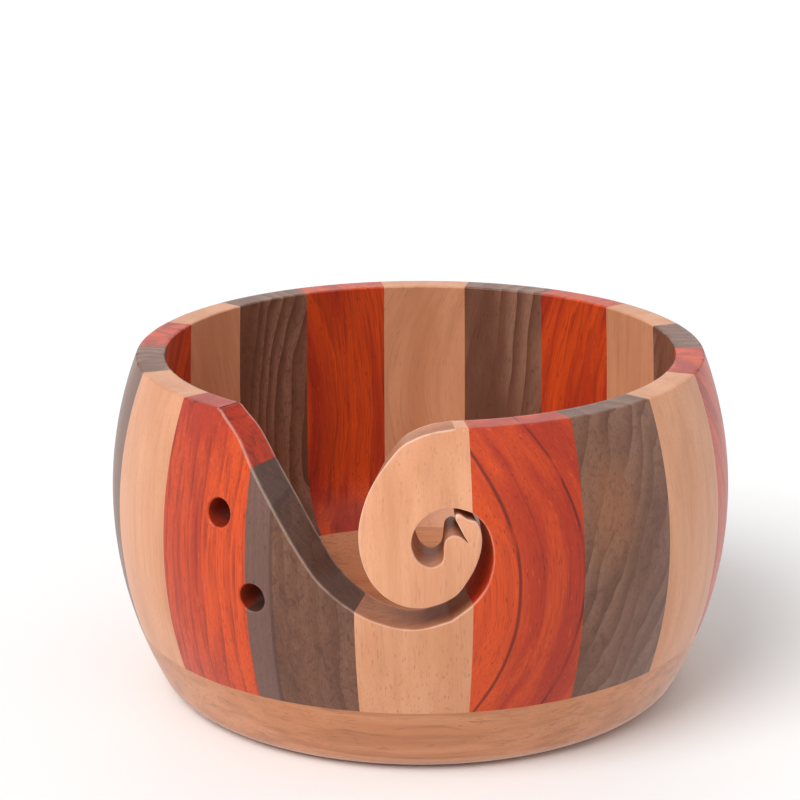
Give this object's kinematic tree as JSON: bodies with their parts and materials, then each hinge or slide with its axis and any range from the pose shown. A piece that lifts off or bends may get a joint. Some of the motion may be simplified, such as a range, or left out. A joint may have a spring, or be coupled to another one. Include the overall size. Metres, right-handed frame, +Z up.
{
  "type": "yarn bowl",
  "caption": "Round staved wooden yarn bowl with a curved slot sawn in from the rim that curls round a scroll into an eye, and small yarn holes beside it.",
  "frame": {"origin": "centre of the foot, on the surface the bowl stands on", "axes": "+Z up along the bowl's axis, -Y towards the front, where the scroll is, +X to the right as seen from the front"},
  "size_m": [0.1602, 0.1602, 0.088],
  "materials": {
    "beech": "satin lacquer",
    "padauk": "satin lacquer",
    "walnut": "satin lacquer"
  },
  "bodies": {
    "root": {"base_disc": "beech", "scroll": "beech", "stave_00": "beech", "stave_01": "padauk", "stave_02": "walnut", "stave_03": "beech", "stave_04": "padauk", "stave_05": "walnut", "stave_06": "beech", "stave_07": "padauk", "stave_08": "walnut", "stave_09": "beech", "stave_10": "padauk", "stave_11": "walnut", "stave_12": "beech", "stave_13": "padauk", "stave_14": "walnut", "stave_15": "beech", "stave_16": "padauk", "stave_17": "walnut"}
  },
  "joints": []
}
